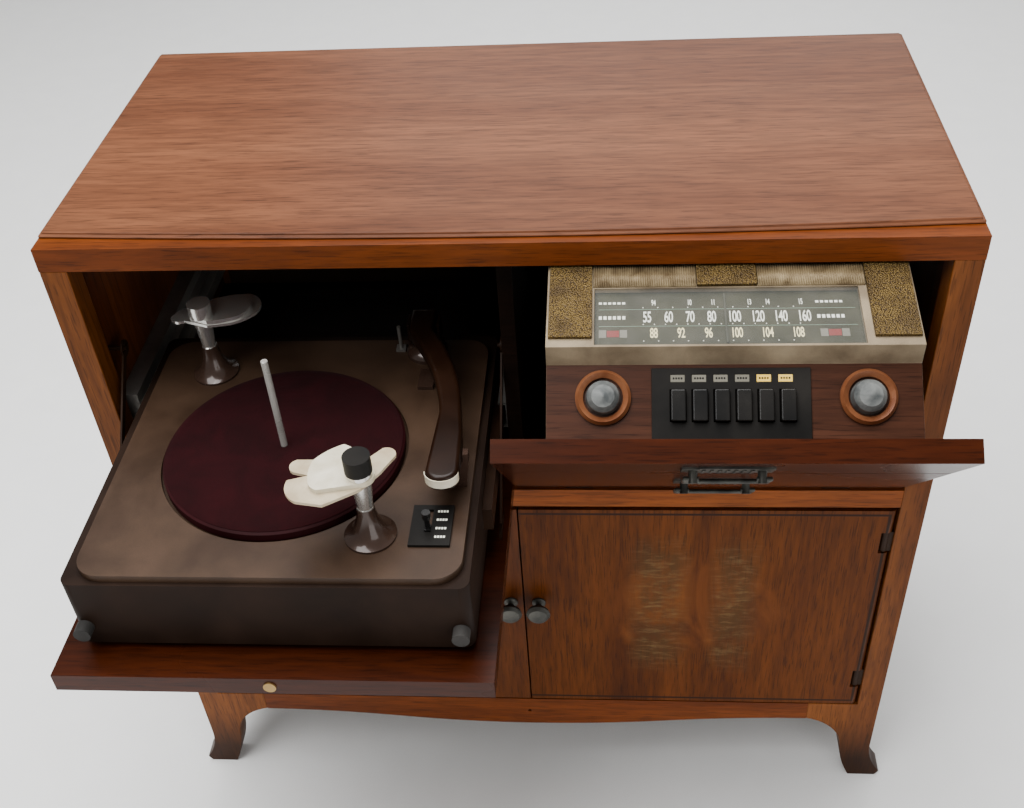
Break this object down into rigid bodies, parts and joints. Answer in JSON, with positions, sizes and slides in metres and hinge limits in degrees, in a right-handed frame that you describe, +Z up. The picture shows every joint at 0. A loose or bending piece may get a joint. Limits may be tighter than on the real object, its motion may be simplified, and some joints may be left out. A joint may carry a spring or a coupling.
{
  "type": "radio phonograph console",
  "caption": "Mahogany radio phonograph console with a pull-out record changer, a tilt-out radio and lower doors.",
  "frame": {"origin": "on the floor under the middle of the whole piece as shown, with its phonograph door open", "axes": "+Z up, +X to the right of someone facing the doors, +Y towards the back"},
  "size_m": [0.914, 0.7009, 0.848],
  "materials": {
    "case_wood": "satin",
    "door_wood": "satin",
    "inner_wood": "gloss",
    "plain_wood": "matte",
    "hardboard": "matte",
    "pewter": "satin",
    "steel": "satin",
    "brass": "satin",
    "brown_enamel": "satin",
    "maroon_felt": "matte",
    "black_plastic": "gloss",
    "cream_plastic": "gloss",
    "brown_plastic": "gloss",
    "gold_trim": "satin",
    "dial_black": "matte",
    "clear_glass": "gloss",
    "rubber": "matte",
    "cloth": "matte",
    "grey_metal": "satin",
    "cone_paper": "matte"
  },
  "bodies": {
    "cabinet": {"top_board": "case_wood", "front_rails": "case_wood", "side_panels": "case_wood", "legs": "case_wood", "cabinet_shelves": "plain_wood", "centre_partitions": "plain_wood", "back_panel": "hardboard", "speaker_baffle": "plain_wood", "grille_cloth": "cloth", "loudspeaker": "cone_paper", "amplifier": "grey_metal", "record_dividers": "plain_wood", "door_hinges": "steel", "cabinet_runners": "steel"},
    "phono_door": {"phono_door_panel": "door_wood", "phono_door_fittings": "pewter"},
    "phono_upper_bail": {"phono_upper_bail": "pewter"},
    "phono_lower_bail": {"phono_lower_bail": "pewter"},
    "radio": {"radio_door_panel": "door_wood", "radio_pull_plates": "pewter", "radio_housing": "inner_wood", "radio_chassis": "grey_metal", "radio_escutcheon": "gold_trim", "dial_trim": "gold_trim", "dial_backplate": "dial_black", "dial_glass": "clear_glass", "key_panel": "black_plastic", "knob_rings": "gold_trim"},
    "radio_upper_bail": {"radio_upper_bail": "pewter"},
    "radio_lower_bail": {"radio_lower_bail": "pewter"},
    "station_key_1": {"station_key_1": "brown_plastic"},
    "station_key_2": {"station_key_2": "brown_plastic"},
    "station_key_3": {"station_key_3": "brown_plastic"},
    "station_key_4": {"station_key_4": "brown_plastic"},
    "station_key_5": {"station_key_5": "brown_plastic"},
    "station_key_6": {"station_key_6": "brown_plastic"},
    "volume_knob": {"volume_knob": "grey_metal"},
    "tuning_knob": {"tuning_knob": "grey_metal"},
    "dial_pointer": {"dial_pointer": "cream_plastic"},
    "drawer": {"drawer_base": "plain_wood", "drawer_bumpers": "rubber", "deck_plate": "brown_enamel", "drawer_runners": "steel", "motor": "black_plastic", "deck_fittings": "brown_enamel", "spindle": "steel", "selector_posts": "brown_enamel"},
    "platter": {"turntable": "brown_enamel", "turntable_mat": "maroon_felt"},
    "idler_wheel": {"idler_wheel": "rubber"},
    "motor_pulley": {"motor_pulley": "brass"},
    "front_selector": {"front_selector": "black_plastic"},
    "rear_selector": {"rear_selector": "cream_plastic"},
    "reject_lever": {"reject_lever": "brown_plastic"},
    "tonearm_yoke": {"tonearm_yoke": "brown_plastic"},
    "tonearm": {"tonearm": "brown_plastic"},
    "left_door": {"left_door_panel": "door_wood", "left_door_knob": "grey_metal"},
    "right_door": {"right_door_panel": "door_wood", "right_door_knob": "grey_metal"}
  },
  "joints": [
    {"name": "phono_door_free_play", "type": "hinge", "parent": "cabinet", "child": "phono_door", "pos_m": [0, -0.0695, 0.5366], "axis": [-1, 0, 0], "range_deg": [0, 1.5]},
    {"name": "radio_tilt", "type": "hinge", "parent": "cabinet", "child": "radio", "pos_m": [0, -0.0695, 0.5366], "axis": [-1, 0, 0], "range_deg": [0, 41.5]},
    {"name": "drawer_slide", "type": "slide", "parent": "cabinet", "child": "drawer", "axis": [0, 1, 0], "range_m": [0, 0.274]},
    {"name": "phono_upper_bail_swing", "type": "hinge", "parent": "phono_door", "child": "phono_upper_bail", "pos_m": [-0.204, -0.30021, 0.52764], "axis": [-1, 0, 0], "range_deg": [0, 80]},
    {"name": "phono_lower_bail_swing", "type": "hinge", "parent": "phono_door", "child": "phono_lower_bail", "pos_m": [-0.204, -0.16826, 0.52418], "axis": [-1, 0, 0], "range_deg": [0, 80]},
    {"name": "radio_upper_bail_swing", "type": "hinge", "parent": "radio", "child": "radio_upper_bail", "pos_m": [0.2055, -0.2334, 0.69922], "axis": [-1, 0, 0], "range_deg": [0, 80]},
    {"name": "radio_lower_bail_swing", "type": "hinge", "parent": "radio", "child": "radio_lower_bail", "pos_m": [0.2055, -0.14594, 0.60036], "axis": [-1, 0, 0], "range_deg": [0, 80]},
    {"name": "station_key_1_press", "type": "slide", "parent": "radio", "child": "station_key_1", "axis": [0, 0.6626, -0.749], "range_m": [0, 0.004], "stiffness_N_per_m": 300, "springref_m": -0.002},
    {"name": "station_key_2_press", "type": "slide", "parent": "radio", "child": "station_key_2", "axis": [0, 0.6626, -0.749], "range_m": [0, 0.004], "stiffness_N_per_m": 300, "springref_m": -0.002},
    {"name": "station_key_3_press", "type": "slide", "parent": "radio", "child": "station_key_3", "axis": [0, 0.6626, -0.749], "range_m": [0, 0.004], "stiffness_N_per_m": 300, "springref_m": -0.002},
    {"name": "station_key_4_press", "type": "slide", "parent": "radio", "child": "station_key_4", "axis": [0, 0.6626, -0.749], "range_m": [0, 0.004], "stiffness_N_per_m": 300, "springref_m": -0.002},
    {"name": "station_key_5_press", "type": "slide", "parent": "radio", "child": "station_key_5", "axis": [0, 0.6626, -0.749], "range_m": [0, 0.004], "stiffness_N_per_m": 300, "springref_m": -0.002},
    {"name": "station_key_6_press", "type": "slide", "parent": "radio", "child": "station_key_6", "axis": [0, 0.6626, -0.749], "range_m": [0, 0.004], "stiffness_N_per_m": 300, "springref_m": -0.002},
    {"name": "volume_turn", "type": "hinge", "parent": "radio", "child": "volume_knob", "pos_m": [0.0976, -0.1859, 0.75193], "axis": [0, -0.6626, 0.749], "range_deg": [-150, 150]},
    {"name": "tuning_turn", "type": "hinge", "parent": "radio", "child": "tuning_knob", "pos_m": [0.3261, -0.1859, 0.75193], "axis": [0, -0.6626, 0.749], "range_deg": [-900, 900]},
    {"name": "pointer_travel", "type": "slide", "parent": "radio", "child": "dial_pointer", "axis": [1, 0, 0], "range_m": [-0.066, 0.066]},
    {"name": "platter_turn", "type": "hinge", "parent": "drawer", "child": "platter", "pos_m": [-0.213, -0.1475, 0.66], "axis": [0, 0, 1], "continuous": true},
    {"name": "idler_turn", "type": "hinge", "parent": "drawer", "child": "idler_wheel", "pos_m": [-0.1253, -0.1475, 0.653], "axis": [0, 0, 1], "continuous": true},
    {"name": "pulley_turn", "type": "hinge", "parent": "drawer", "child": "motor_pulley", "pos_m": [-0.1253, -0.1192, 0.653], "axis": [0, 0, 1], "continuous": true},
    {"name": "front_selector_turn", "type": "hinge", "parent": "drawer", "child": "front_selector", "pos_m": [-0.1115, -0.2585, 0.72], "axis": [0, 0, 1], "range_deg": [0, 60]},
    {"name": "rear_selector_turn", "type": "hinge", "parent": "drawer", "child": "rear_selector", "pos_m": [-0.3145, -0.0225, 0.72], "axis": [0, 0, 1], "range_deg": [0, 60]},
    {"name": "reject_slide", "type": "slide", "parent": "drawer", "child": "reject_lever", "axis": [0, 1, 0], "range_m": [0, 0.016]},
    {"name": "tonearm_swing", "type": "hinge", "parent": "drawer", "child": "tonearm_yoke", "pos_m": [-0.091, 0.0095, 0.68], "axis": [0, 0, 1], "range_deg": [-30, 0]},
    {"name": "tonearm_lift", "type": "hinge", "parent": "tonearm_yoke", "child": "tonearm", "pos_m": [-0.091, 0.0095, 0.689], "axis": [-1, 0, 0], "range_deg": [0, 20]},
    {"name": "left_door_swing", "type": "hinge", "parent": "cabinet", "child": "left_door", "pos_m": [-0.4025, -0.0695, 0.328], "axis": [0, 0, 1], "range_deg": [-105, 0]},
    {"name": "right_door_swing", "type": "hinge", "parent": "cabinet", "child": "right_door", "pos_m": [0.4025, -0.0695, 0.328], "axis": [0, 0, 1], "range_deg": [0, 105]}
  ],
  "couplings": [
    {"joint": "idler_turn", "follows": "platter_turn", "ratio": 4.6667},
    {"joint": "pulley_turn", "follows": "platter_turn", "ratio": -28},
    {"joint": "pointer_travel", "follows": "tuning_turn", "m_per_rad": 0.004138}
  ]
}
